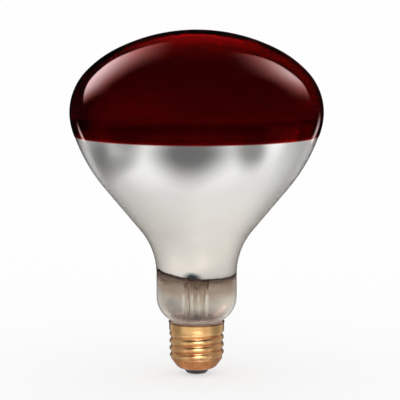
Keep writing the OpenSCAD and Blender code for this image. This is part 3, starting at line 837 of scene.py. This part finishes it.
# A brighter red line along the ruby's foot, in front only, is a painted glow.
glow_line_height = 2 * MM
glow_line_end = (1.0 * MM, 2.2 * MM)
glow_line_front = (-20 * MM, 5 * MM)
# A lighter red patch at the left is a painted reflection.
painted_reflection_tone = (0.22, 0.003, 0.006)
painted_reflection_side, painted_reflection_height = (-27 * MM, 20 * MM), (134 * MM, 5 * MM)
grit_levels = (0.7, 0.76)

ruby_glass = Finish("ruby_glass", {"Transmission Weight": 1.0, "IOR": 1.5})
clouds = ruby_glass.noise(9 * MM, detail=3.0)
grit = ruby_glass.rise(ruby_glass.noise(0.6 * MM, detail=1.0), *grit_levels)
stained = ruby_glass.height + (clouds - 0.5) * stain_wander
deep_ruby = ruby_glass.ramp((stained - ruby_low.z) / (bulb_top - ruby_low.z), [
    (0.05, (0.21, 0.005, 0.01)),
    (0.3, (0.15, 0.003, 0.006)),
    (0.8, (0.13, 0.003, 0.006)),
    (0.97, (0.2, 0.012, 0.02)),
])
# The brighter red line along the ruby's foot is a painted glow, kept to the front.
line = ruby_glass.ramp((ruby_glass.height - ruby_low.z) / glow_line_height, [
    (0.1, (0.8, 0.5, 0.46)),
    (0.25, (0.62, 0.03, 0.04)),
    (0.6, (0.4, 0.01, 0.015)),
])
# The lighter patch at the left is a painted reflection.
painted_reflection = ruby_glass.oval((ruby_glass.side, *painted_reflection_side), (ruby_glass.height, *painted_reflection_height))
deep_ruby = ruby_glass.blend(painted_reflection, deep_ruby, painted_reflection_tone)
deep = ruby_glass.rise(ruby_glass.height, *(ruby_low.z + level for level in glow_line_end))
deep = deep.work("MAXIMUM", deep, ruby_glass.rise(ruby_glass.depth, *glow_line_front))
ruby_glass.set({
    "Base Color": ruby_glass.blend(deep, line, deep_ruby),
    "Roughness": 0.02 + 0.2 * grit,
})
settle(ruby_face, ruby_glass, "ruby_glass", "ruby_coat")

# %% [markdown]
# ## The mirror
# The mirror is a film of metal on the inside. It is whole down to a ragged edge that sags in
# front and tilts to one side, with a dark line along it. A dark spot on that line, in front
# only, is a painted reflection. Below the edge only a thin, streaky, burnt breath of metal is
# left, and it thins out towards the foot, so Alpha lets more and more of the view through it
# there.

# %% Name the film's edges and tones
silver_start, silver_span, silver_wander = 50 * MM, 65 * MM, 10 * MM
film_edge = 52.9 * MM
front_sag = 0.13
side_tilt = 0.07
film_ragged = 1.2 * MM
edge_width = 0.5 * MM
film_foot = 46.4 * MM
foot_sag = 0.05
foot_ragged = 3 * MM
burnt_height = 6 * MM
line_tone, line_levels = (0.07, 0.045, 0.04), (-2.2 * MM, -0.3 * MM)
thin_levels = (-0.8 * MM, 5 * MM)
# The dark spot on the film's edge, in front only, is a painted reflection.
dark_reflection_tone = (0.03, 0.05, 0.06)
dark_reflection_side, dark_reflection_level = (-1.9 * MM, 5 * MM), (0.6 * MM, 2.8 * MM)
dark_reflection_depth = (-5 * MM, 0.0)
print("The film's edge is about", round(film_edge / MM, 1), "mm up")

# %% Finish the mirror
mirror_film = Finish("mirror_film", {"Metallic": 1.0})
side, depth, height = mirror_film.side, mirror_film.depth, mirror_film.height
cloudy = mirror_film.noise(14 * MM, detail=3.0)
toned = (height + (cloudy - 0.5) * silver_wander - silver_start) / silver_span
silver = mirror_film.ramp(toned, [
    (0.0, (0.72, 0.68, 0.63)),
    (0.25, (0.84, 0.8, 0.74)),
    (0.6, (0.89, 0.87, 0.84)),
    (0.9, (0.88, 0.88, 0.88)),
])
ragged = mirror_film.noise(4 * MM, detail=3.0) * film_ragged
level = height - front_sag * depth + side_tilt * side + ragged - film_edge
whole = mirror_film.rise(level, 0.0, edge_width)
streaks = mirror_film.noise(1.6 * MM, detail=5.0, stretch=(0.25, 0.25, 1.4))
foot_level = height - foot_sag * depth + (streaks - 0.5) * foot_ragged - film_foot
burnt = mirror_film.ramp(foot_level / burnt_height, [
    (0.0, (0.55, 0.38, 0.24)),
    (0.4, (0.4, 0.29, 0.22)),
    (0.8, (0.27, 0.2, 0.18)),
])
burnt = mirror_film.blend(mirror_film.rise(level, *line_levels), burnt, line_tone)
thinning = mirror_film.rise(foot_level, *thin_levels) * (0.5 + 0.7 * streaks)
# A dark spot on the edge line, in front only: a painted reflection.
dark_reflection = mirror_film.oval((side, *dark_reflection_side), (level, *dark_reflection_level))
dark_reflection = dark_reflection * mirror_film.fall(depth, *dark_reflection_depth)
mirror_film.set({
    "Base Color": mirror_film.blend(whole, burnt, mirror_film.blend(dark_reflection, silver, dark_reflection_tone)),
    "Roughness": 0.1 + 0.06 * cloudy + 0.2 * (1 - whole),
    "Alpha": whole + (1 - whole) * thinning,
})
settle(mirror_lining, mirror_film, "mirror_film", "mirror_coat")

# %% [markdown]
# ## The screw cap
# The cap is one sheet of brass, rolled between two threaded rollers, so its inside repeats
# the thread. A smooth band is spun first with many rows. Each point then takes the radius of
# a wave that climbs one pitch a turn, which no edit tool without a window can do, and the
# sheet gets its thickness last.

# %% Measure the shell and its thread
pitch = 25.4 / 7 * MM
thread_r = 13.1 * MM
thread_depth = 0.9 * MM
thread_foot = 8.5 * MM
collar_r = 13.2 * MM
collar_z = 22.5 * MM
lip_w = 0.55 * MM
lip_z = 25.7 * MM
lip_steps = 8
sheet_t = 0.3 * MM
crest_z = 14.75 * MM
foot_band_r = thread_r - thread_depth + 0.1 * MM
mouth_turn_r = 3.4 * MM
mouth_c = Vector((7.1 * MM, 3.3 * MM + mouth_turn_r))
shell_cone_a = math.radians(126)
fade_l = 0.4 * pitch
rows_per_pitch = 16


def ease(share):
    share = min(1, max(0, share))
    return share * share * (3 - 2 * share)


def thread_radius(angle, height):
    """The rolled thread's outer radius, faded into the plain bands at both ends."""
    wave = math.cos(2 * math.pi * (height - crest_z) / pitch - angle)
    threaded = thread_r - thread_depth / 2 + thread_depth / 2 * wave
    plain = foot_band_r if height < (thread_foot + collar_z) / 2 else collar_r
    return plain + (threaded - plain) * ease(min(height - thread_foot, collar_z - height) / fade_l)


# %% Roll the shell
turn_end = mouth_c + mouth_turn_r * outward(shell_cone_a)
shell_line = arc(mouth_c, mouth_turn_r, math.pi, shell_cone_a, 1, 3 * mouth_turn_r)
cone_rise = (turn_end.x - foot_band_r) / downhill(shell_cone_a).x
shell_line.append(turn_end - cone_rise * downhill(shell_cone_a))
rows = math.ceil(rows_per_pitch * (collar_z - thread_foot) / pitch)
for row in range(rows + 1):
    shell_line.append(Vector((collar_r, thread_foot + (collar_z - thread_foot) * row / rows)))
shell_line.append(Vector((collar_r, (collar_z + lip_z) / 2)))
lip_c = Vector((collar_r + lip_w, lip_z))
for step in range(lip_steps + 1):
    angle = upright * step / lip_steps
    shell_line.append(lip_c + lip_w * Vector((-math.cos(angle), math.sin(angle))))

screw_cap = turn("screw_cap", shell_line)
for vertex in screw_cap.data.vertices:
    if thread_foot <= vertex.co.z <= collar_z:
        angle = math.atan2(vertex.co.y, vertex.co.x)
        radius = thread_radius(angle, vertex.co.z)
        vertex.co.x = radius * math.cos(angle)
        vertex.co.y = radius * math.sin(angle)
sheet = screw_cap.modifiers.new("sheet", "SOLIDIFY")
sheet.thickness = sheet_t
sheet.offset = -1
bpy.ops.object.modifier_apply(modifier=sheet.name)
close_up(screw_cap)
print("The thread climbs", round(pitch / MM, 2), "mm a turn, over", rows, "rows of faces")

# %% [markdown]
# ## The foot of the cap
# Black glass is moulded into the cap's mouth, and carries a small brass contact with a drop of
# solder. All three are turned as well, with rounded edges, and the second drop of solder sits
# on the rim at the back, where the rim lead comes out.

# %% Turn the insulator
foot_low, foot_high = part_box("insulator")
rivet_r = 2.3 * MM
rivet_top = foot_low.z + 3.4 * MM
seat_w = 1 * MM
foot_r = 5.2 * MM
foot_edge_r = 0.3 * MM
foot_edge_end_a = 2.0
fine_arc = 3 * MM
step_in, step_z = 0.35 * MM, 3.0 * MM
top_in = 0.5 * MM
in_turn_r = mouth_turn_r - sheet_t - coat_bite
foot_edge_c = Vector((foot_r - foot_edge_r, foot_low.z + foot_edge_r))
glass_line = [
    Vector((rivet_r, foot_low.z)),
    Vector((foot_r - 3 * foot_edge_r, foot_low.z)),
    *arc(foot_edge_c, foot_edge_r, math.pi, foot_edge_end_a, 1, fine_arc),
    Vector((mouth_c.x - step_in, step_z)),
    *arc(mouth_c, in_turn_r, math.pi, shell_cone_a, 1, 2 * mouth_turn_r),
    Vector((foot_high.x - top_in, foot_high.z)),
    Vector((rivet_r + seat_w, rivet_top)),
    Vector((rivet_r, rivet_top)),
    Vector((rivet_r, foot_low.z)),
]
insulator_piece = turn("black_glass_insulator", glass_line)
print("The insulator's foot is", round(foot_low.z / MM, 2), "mm up")

# %% Turn the contact
contact_low, contact_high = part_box("centre_contact")
contact_r = contact_high.x
contact_t = 0.4 * MM
contact_edge_r = 0.2 * MM
contact_spin = 96
contact_edge_c = Vector((contact_r - contact_edge_r, contact_low.z + contact_edge_r))
contact_line = [
    Vector((rivet_r - contact_t, contact_low.z)),
    *arc(contact_edge_c, contact_edge_r, math.pi, upright, 1, fine_arc),
    Vector((contact_r, foot_low.z)),
    Vector((rivet_r, foot_low.z)),
    Vector((rivet_r, rivet_top)),
    Vector((rivet_r - contact_t, rivet_top)),
    Vector((rivet_r - contact_t, contact_low.z)),
]
contact_piece = turn("centre_contact_disc", contact_line, contact_spin)
print("The contact is", round(2 * contact_r / MM, 1), "mm wide")

# %% Drop the solder
drop_low, drop_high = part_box("centre_solder")
drop_r = drop_high.x
worn_r, worn_rise = 1.2 * MM, 0.01 * MM
drop_steps = 8
drop_spin = 64
drop_line = [Vector((0, drop_low.z)), Vector((worn_r, drop_low.z + worn_rise))]
for step in range(1, drop_steps + 1):
    angle = upright * step / drop_steps
    drop_line.append(Vector((
        worn_r + (drop_r - worn_r) * math.sin(angle),
        drop_low.z + (contact_low.z - drop_low.z) * (1 - math.cos(angle)),
    )))
drop_line += [
    Vector((rivet_r - contact_t, contact_low.z)),
    Vector((rivet_r - contact_t, drop_high.z)),
    Vector((0, drop_high.z)),
]
solder_piece = turn("centre_solder_drop", drop_line, drop_spin)

rim_low, rim_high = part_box("rim_solder")
rim_middle = (rim_low + rim_high) / 2
cut_side = (0, -0.6, -0.8)
bpy.ops.object.select_all(action="DESELECT")
bpy.ops.mesh.primitive_ico_sphere_add(subdivisions=4, radius=0.5)
rim_piece = bpy.context.object
rim_piece.name = "rim_solder_drop"
bpy.ops.object.mode_set(mode="EDIT")
bpy.ops.mesh.select_all(action="SELECT")
bpy.ops.transform.resize(value=rim_high - rim_low)
bpy.ops.transform.translate(value=rim_middle)
bpy.ops.mesh.bisect(plane_co=rim_middle, plane_no=cut_side, clear_outer=False, use_fill=False)
bpy.ops.object.mode_set(mode="OBJECT")
close_up(rim_piece)
print("The centre drop is", round(2 * drop_r / MM, 1), "mm wide")

# %% [markdown]
# ## The filament
# The tungsten wire is wound into a coil, and the coil is laid round most of a ring. A Screw
# modifier winds only a straight coil, so the route of the wire's middle is worked out turn by
# turn, drawn with the same extruding hand, made a curve, and given its round section there.

# %% Wind the filament
ring_r = 15 * MM
ring_z = 92 * MM
ring_sweep = math.radians(270)
ring_start = -upright + (2 * math.pi - ring_sweep) / 2
coil_turns = 42
coil_wire_r = 0.25 * MM
coil_curl_r = 1.25 * MM
coil_tail = 2 * MM
coil_fade = 0.75
points_per_turn = 14
coil_points = coil_turns * points_per_turn


def around(angle):
    return Vector((math.cos(angle), math.sin(angle), 0))


def onward(angle):
    return Vector((-math.sin(angle), math.cos(angle), 0))


def coil_point(step):
    ring_angle = ring_start + ring_sweep * step / coil_points
    curl = 2 * math.pi * step / points_per_turn
    size = coil_curl_r * ease(min(step, coil_points - step) / (coil_fade * points_per_turn))
    lean = math.cos(curl) * around(ring_angle) + Vector((0, 0, math.sin(curl)))
    return ring_r * around(ring_angle) + Vector((0, 0, ring_z)) + size * lean


def wire(name, route, radius, roundness):
    piece = draw(name, route)
    bpy.ops.object.mode_set(mode="OBJECT")
    bpy.ops.object.convert(target="CURVE")
    piece = bpy.context.object
    piece.data.bevel_depth = radius
    piece.data.bevel_resolution = roundness
    piece.data.use_fill_caps = True
    bpy.ops.object.convert(target="MESH")
    return close_up(bpy.context.object)


filament_low, filament_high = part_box("filament")
route = [coil_point(step) for step in range(coil_points + 1)]
route.insert(0, route[0] - coil_tail * onward(ring_start))
route.append(route[-1] + coil_tail * onward(ring_start + ring_sweep))
filament_piece = wire("coiled_filament", route, coil_wire_r, roundness=1)
print("Filament's CAD box", [round(side / MM, 2) for side in (*filament_low, *filament_high)])

# %% [markdown]
# ## Brass
# The cap's brass has tarnished in clouds. The crests of the thread are lighter and the grooves
# darker: partly wear from the lampholder and tarnish, partly a painted highlight on the crests
# and painted shade in the grooves. Towards its foot the brass reddens, and the cone at the foot
# is nearly copper. The collar is plain and even, with a painted shadow line along its top.


# %% A recipe for metals
def metal(name, dark, light, rough, grain=1.2 * MM, depth=0.01 * MM):
    """A metal whose colour and gloss wander between two tones."""
    finish = Finish(name, {"Metallic": 1.0})
    patches = finish.noise(grain, detail=4.0)
    finish.set({
        "Base Color": finish.tones(patches, dark, light),
        "Roughness": rough + 0.15 * patches,
    })
    finish.bump(finish.noise(grain / 3, detail=2.0), depth, 0.4)
    return finish


# %% Finish the shell
# Groove and crest tones: partly wear and tarnish, partly painted shade and painted highlight.
dull_and_shaded_tones = (0.52, 0.2, 0.08), (0.78, 0.41, 0.18)
worn_and_lit_tones = (0.84, 0.46, 0.18), (0.95, 0.6, 0.27)
collar_tones = (0.68, 0.38, 0.15), (0.86, 0.55, 0.24)
copper_tones = (0.58, 0.21, 0.07), (0.84, 0.36, 0.14)
red_tone, red_levels, red_heights = (0.62, 0.25, 0.11), (0.4, 0.65), (9 * MM, 20 * MM)
# The dark tone at the collar's top is a painted shadow line.
lip_shadow_tone = (0.3, 0.15, 0.07)
crest_depth, crest_wander = 0.75 * thread_depth, 0.5 * MM
collar_fade, lip_shadow_fade = 1.2 * MM, 0.6 * MM
copper_top = (6 * MM, thread_foot)

brass = Finish("brass_shell", {"Metallic": 1.0})
cap_radius = (brass.side * brass.side + brass.depth * brass.depth) ** 0.5
tarnish = brass.noise(5 * MM, detail=5.0)
# Crests lighter, grooves darker: part wear, part painted highlight and painted shade.
worn_and_lit = brass.rise(cap_radius + (tarnish - 0.5) * crest_wander, thread_r - crest_depth, thread_r)
threaded = brass.blend(worn_and_lit, brass.tones(tarnish, *dull_and_shaded_tones), brass.tones(tarnish, *worn_and_lit_tones))
reddened = brass.rise(brass.noise(3 * MM, detail=4.0, stretch=(1, 1, 2)), *red_levels)
reddened = reddened * (0.2 + 0.6 * brass.fall(brass.height, *red_heights))
threaded = brass.blend(reddened, threaded, red_tone)
copper_foot = brass.fall(brass.height, *copper_top)
threaded = brass.blend(copper_foot, threaded, brass.tones(tarnish, *copper_tones))
# A dark band just under the collar's top edge: a painted shadow line.
lip_shadow = brass.rise(brass.height, lip_z - lip_shadow_fade, lip_z)
collar = brass.blend(lip_shadow, brass.tones(tarnish, *collar_tones), lip_shadow_tone)
on_thread = brass.fall(brass.height, collar_z - collar_fade, collar_z)
brass.set({
    "Base Color": brass.blend(on_thread, collar, threaded),
    "Roughness": 0.13 + 0.16 * tarnish,
})
brass.bump(brass.noise(1.5 * MM, detail=3.0), 0.02 * MM, 0.5)
settle(screw_cap, brass, "brass_shell", "screw_shell")

# %% [markdown]
# The foot's three small pieces are a brass contact painted dark, as painted shade, moulded glass
# with a slow swirl, and dull solder with a fine grain.

# %% Finish the foot
# The contact's brass is painted nearly black: painted shade under the lamp.
shaded_contact_brass = metal(
    "shaded_contact_brass", dark=(0.16, 0.1, 0.07), light=(0.34, 0.22, 0.14), rough=0.35
)
settle(contact_piece, shaded_contact_brass, "brass_shell", "centre_contact")

black_glass = Finish("black_glass", {"IOR": 1.55})
swirl = black_glass.noise(3 * MM, detail=3.0)
black_glass.set({
    "Base Color": black_glass.tones(swirl, (0.006, 0.006, 0.009), (0.02, 0.018, 0.03)),
    "Roughness": 0.12 + 0.2 * swirl,
})
black_glass.bump(black_glass.noise(1.4 * MM, detail=2.0), 0.05 * MM, 0.5)
settle(insulator_piece, black_glass, "black_glass", "insulator")

solder = metal(
    "solder", dark=(0.14, 0.14, 0.14), light=(0.3, 0.3, 0.3), rough=0.4,
    grain=0.8 * MM, depth=0.03 * MM,
)
settle(solder_piece, solder, "solder", "centre_solder")
settle(rim_piece, solder, "solder", "rim_solder")

# %% [markdown]
# ## Inside the bulb
# Most of the inner parts keep their CAD shape and only get a finish: a stem of lead glass,
# darker and browner towards its top, nickel and copper wires, red seal wires, a heat disc of
# flaky mica, and chalky cement. The wires near the neck are tarnished, so they are only partly
# metallic and show their own colour rather than the studio's.

# %% Make the inner finishes
tungsten = metal(
    "tungsten_wire", dark=(0.2, 0.2, 0.21), light=(0.42, 0.42, 0.44), rough=0.3, grain=0.5 * MM
)
settle(filament_piece, tungsten, "tungsten_wire", "filament")

stem_tones = (0.99, 0.97, 0.94), (0.72, 0.6, 0.5)
# The stem's glass is darker and browner towards its top.
darker_top_heights = (40.5 * MM, 43.5 * MM)
stem_glass = Finish("stem_glass", {"Transmission Weight": 1.0, "IOR": 1.52})
darker_top = stem_glass.rise(stem_glass.height, *darker_top_heights)
stem_glass.set({
    "Base Color": stem_glass.blend(darker_top, *stem_tones),
    "Roughness": 0.02 + 0.06 * stem_glass.noise(2 * MM),
})

dull_metal = {"Metallic": 0.3}
nickel = metal("nickel_wire", dark=(0.45, 0.44, 0.42), light=(0.68, 0.67, 0.64), rough=0.25)
sealing = metal("seal_wire", dark=(0.72, 0.5, 0.36), light=(0.9, 0.74, 0.6), rough=0.3)
sealing.set(dull_metal)
copper = metal("copper_wire", dark=(0.74, 0.56, 0.44), light=(0.92, 0.78, 0.66), rough=0.25)
copper.set(dull_metal)

mica = Finish("mica", {"IOR": 1.58})
flakes = mica.noise(4 * MM, detail=6.0, rough=0.7)
mica.set({
    "Base Color": mica.tones(flakes, (0.5, 0.44, 0.32), (0.78, 0.74, 0.62)),
    "Roughness": 0.25 + 0.3 * flakes,
})

cement = Finish("cement", {"Specular IOR Level": 0.2})
crumbs = cement.noise(0.8 * MM, detail=5.0, rough=0.7)
cement.set({
    "Base Color": cement.tones(crumbs, (0.72, 0.62, 0.54), (0.9, 0.82, 0.74)),
    "Roughness": 0.8 + 0.2 * crumbs,
})
cement.bump(crumbs, 0.15 * MM, 0.7)
print("Materials made:", len(bpy.data.materials))

# %% Dress the kept nodes
kept_nodes = {
    "stem": stem_glass, "exhaust_tube": stem_glass, "hook_rod": stem_glass,
    "inner_lead": nickel, "disc_sleeves": nickel, "seal_wire": sealing,
    "fuse_lead": copper, "contact_lead": copper, "rim_lead": copper,
    "fuse_link": nickel, "filament_hook": tungsten, "heat_disc": mica, "basing_cement": cement,
}
for start, finish in kept_nodes.items():
    same = [node for name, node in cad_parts.items() if name.startswith(start)]
    for node in same:
        for material_slot in node.material_slots:
            material_slot.material = finish.material
    print(start, "finished on", len(same), "nodes")
